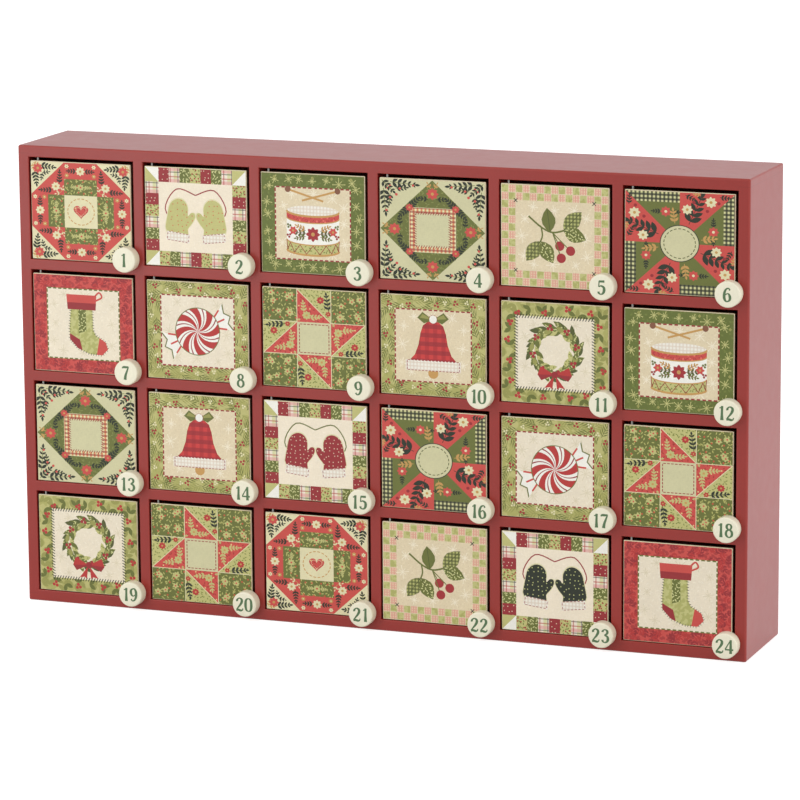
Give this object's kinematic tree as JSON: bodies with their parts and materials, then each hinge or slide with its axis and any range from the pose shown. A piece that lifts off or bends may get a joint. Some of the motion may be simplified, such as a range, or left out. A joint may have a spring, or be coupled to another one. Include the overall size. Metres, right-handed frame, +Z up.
{
  "type": "advent countdown box",
  "caption": "Shallow upright wooden box with a grid of small compartments, each closed by an inset pin-hinged door with a round numbered knob.",
  "frame": {"origin": "on the surface that the box stands on, under the middle of the whole box, knobs included", "axes": "+X runs along the long side to the right as seen from the doors, +Y from the doors to the back, +Z up"},
  "size_m": [0.3906, 0.065, 0.2405],
  "materials": {
    "case_paint": "MDF board with satin brick-red paint",
    "divider_paint": "thin MDF board with the same satin brick-red paint, matt inside",
    "door_paint": "thin MDF panel with cream paint and a printed paper face",
    "knob_paint": "turned wooden disc with satin cream paint"
  },
  "bodies": {
    "case": {"top_board": "case_paint", "bottom_board": "case_paint", "left_side": "case_paint", "right_side": "case_paint", "back_panel": "case_paint", "shelf_1": "divider_paint", "shelf_3": "divider_paint", "centre_cross": "divider_paint", "upright_1": "divider_paint", "upright_2": "divider_paint", "upright_4": "divider_paint", "upright_5": "divider_paint"},
    "door_01": {"door_01": "door_paint", "knob_01": "knob_paint"},
    "door_02": {"door_02": "door_paint", "knob_02": "knob_paint"},
    "door_03": {"door_03": "door_paint", "knob_03": "knob_paint"},
    "door_04": {"door_04": "door_paint", "knob_04": "knob_paint"},
    "door_05": {"door_05": "door_paint", "knob_05": "knob_paint"},
    "door_06": {"door_06": "door_paint", "knob_06": "knob_paint"},
    "door_07": {"door_07": "door_paint", "knob_07": "knob_paint"},
    "door_08": {"door_08": "door_paint", "knob_08": "knob_paint"},
    "door_09": {"door_09": "door_paint", "knob_09": "knob_paint"},
    "door_10": {"door_10": "door_paint", "knob_10": "knob_paint"},
    "door_11": {"door_11": "door_paint", "knob_11": "knob_paint"},
    "door_12": {"door_12": "door_paint", "knob_12": "knob_paint"},
    "door_13": {"door_13": "door_paint", "knob_13": "knob_paint"},
    "door_14": {"door_14": "door_paint", "knob_14": "knob_paint"},
    "door_15": {"door_15": "door_paint", "knob_15": "knob_paint"},
    "door_16": {"door_16": "door_paint", "knob_16": "knob_paint"},
    "door_17": {"door_17": "door_paint", "knob_17": "knob_paint"},
    "door_18": {"door_18": "door_paint", "knob_18": "knob_paint"},
    "door_19": {"door_19": "door_paint", "knob_19": "knob_paint"},
    "door_20": {"door_20": "door_paint", "knob_20": "knob_paint"},
    "door_21": {"door_21": "door_paint", "knob_21": "knob_paint"},
    "door_22": {"door_22": "door_paint", "knob_22": "knob_paint"},
    "door_23": {"door_23": "door_paint", "knob_23": "knob_paint"},
    "door_24": {"door_24": "door_paint", "knob_24": "knob_paint"}
  },
  "joints": [
    {"name": "door_01_hinge", "type": "hinge", "parent": "case", "child": "door_01", "pos_m": [-0.18451, -0.025, 0.1815], "axis": [0, 0, -1], "range_deg": [0, 125]},
    {"name": "door_02_hinge", "type": "hinge", "parent": "case", "child": "door_02", "pos_m": [-0.12051, -0.025, 0.1815], "axis": [0, 0, -1], "range_deg": [0, 115]},
    {"name": "door_03_hinge", "type": "hinge", "parent": "case", "child": "door_03", "pos_m": [-0.05651, -0.025, 0.1815], "axis": [0, 0, -1], "range_deg": [0, 115]},
    {"name": "door_04_hinge", "type": "hinge", "parent": "case", "child": "door_04", "pos_m": [0.00749, -0.025, 0.1815], "axis": [0, 0, -1], "range_deg": [0, 115]},
    {"name": "door_05_hinge", "type": "hinge", "parent": "case", "child": "door_05", "pos_m": [0.07149, -0.025, 0.1815], "axis": [0, 0, -1], "range_deg": [0, 115]},
    {"name": "door_06_hinge", "type": "hinge", "parent": "case", "child": "door_06", "pos_m": [0.13549, -0.025, 0.1815], "axis": [0, 0, -1], "range_deg": [0, 115]},
    {"name": "door_07_hinge", "type": "hinge", "parent": "case", "child": "door_07", "pos_m": [-0.18451, -0.025, 0.123], "axis": [0, 0, -1], "range_deg": [0, 125]},
    {"name": "door_08_hinge", "type": "hinge", "parent": "case", "child": "door_08", "pos_m": [-0.12051, -0.025, 0.123], "axis": [0, 0, -1], "range_deg": [0, 115]},
    {"name": "door_09_hinge", "type": "hinge", "parent": "case", "child": "door_09", "pos_m": [-0.05651, -0.025, 0.123], "axis": [0, 0, -1], "range_deg": [0, 115]},
    {"name": "door_10_hinge", "type": "hinge", "parent": "case", "child": "door_10", "pos_m": [0.00749, -0.025, 0.123], "axis": [0, 0, -1], "range_deg": [0, 115]},
    {"name": "door_11_hinge", "type": "hinge", "parent": "case", "child": "door_11", "pos_m": [0.07149, -0.025, 0.123], "axis": [0, 0, -1], "range_deg": [0, 115]},
    {"name": "door_12_hinge", "type": "hinge", "parent": "case", "child": "door_12", "pos_m": [0.13549, -0.025, 0.123], "axis": [0, 0, -1], "range_deg": [0, 115]},
    {"name": "door_13_hinge", "type": "hinge", "parent": "case", "child": "door_13", "pos_m": [-0.18451, -0.025, 0.0645], "axis": [0, 0, -1], "range_deg": [0, 125]},
    {"name": "door_14_hinge", "type": "hinge", "parent": "case", "child": "door_14", "pos_m": [-0.12051, -0.025, 0.0645], "axis": [0, 0, -1], "range_deg": [0, 115]},
    {"name": "door_15_hinge", "type": "hinge", "parent": "case", "child": "door_15", "pos_m": [-0.05651, -0.025, 0.0645], "axis": [0, 0, -1], "range_deg": [0, 115]},
    {"name": "door_16_hinge", "type": "hinge", "parent": "case", "child": "door_16", "pos_m": [0.00749, -0.025, 0.0645], "axis": [0, 0, -1], "range_deg": [0, 115]},
    {"name": "door_17_hinge", "type": "hinge", "parent": "case", "child": "door_17", "pos_m": [0.07149, -0.025, 0.0645], "axis": [0, 0, -1], "range_deg": [0, 115]},
    {"name": "door_18_hinge", "type": "hinge", "parent": "case", "child": "door_18", "pos_m": [0.13549, -0.025, 0.0645], "axis": [0, 0, -1], "range_deg": [0, 115]},
    {"name": "door_19_hinge", "type": "hinge", "parent": "case", "child": "door_19", "pos_m": [-0.18451, -0.025, 0.006], "axis": [0, 0, -1], "range_deg": [0, 125]},
    {"name": "door_20_hinge", "type": "hinge", "parent": "case", "child": "door_20", "pos_m": [-0.12051, -0.025, 0.006], "axis": [0, 0, -1], "range_deg": [0, 115]},
    {"name": "door_21_hinge", "type": "hinge", "parent": "case", "child": "door_21", "pos_m": [-0.05651, -0.025, 0.006], "axis": [0, 0, -1], "range_deg": [0, 115]},
    {"name": "door_22_hinge", "type": "hinge", "parent": "case", "child": "door_22", "pos_m": [0.00749, -0.025, 0.006], "axis": [0, 0, -1], "range_deg": [0, 115]},
    {"name": "door_23_hinge", "type": "hinge", "parent": "case", "child": "door_23", "pos_m": [0.07149, -0.025, 0.006], "axis": [0, 0, -1], "range_deg": [0, 115]},
    {"name": "door_24_hinge", "type": "hinge", "parent": "case", "child": "door_24", "pos_m": [0.13549, -0.025, 0.006], "axis": [0, 0, -1], "range_deg": [0, 115]}
  ]
}
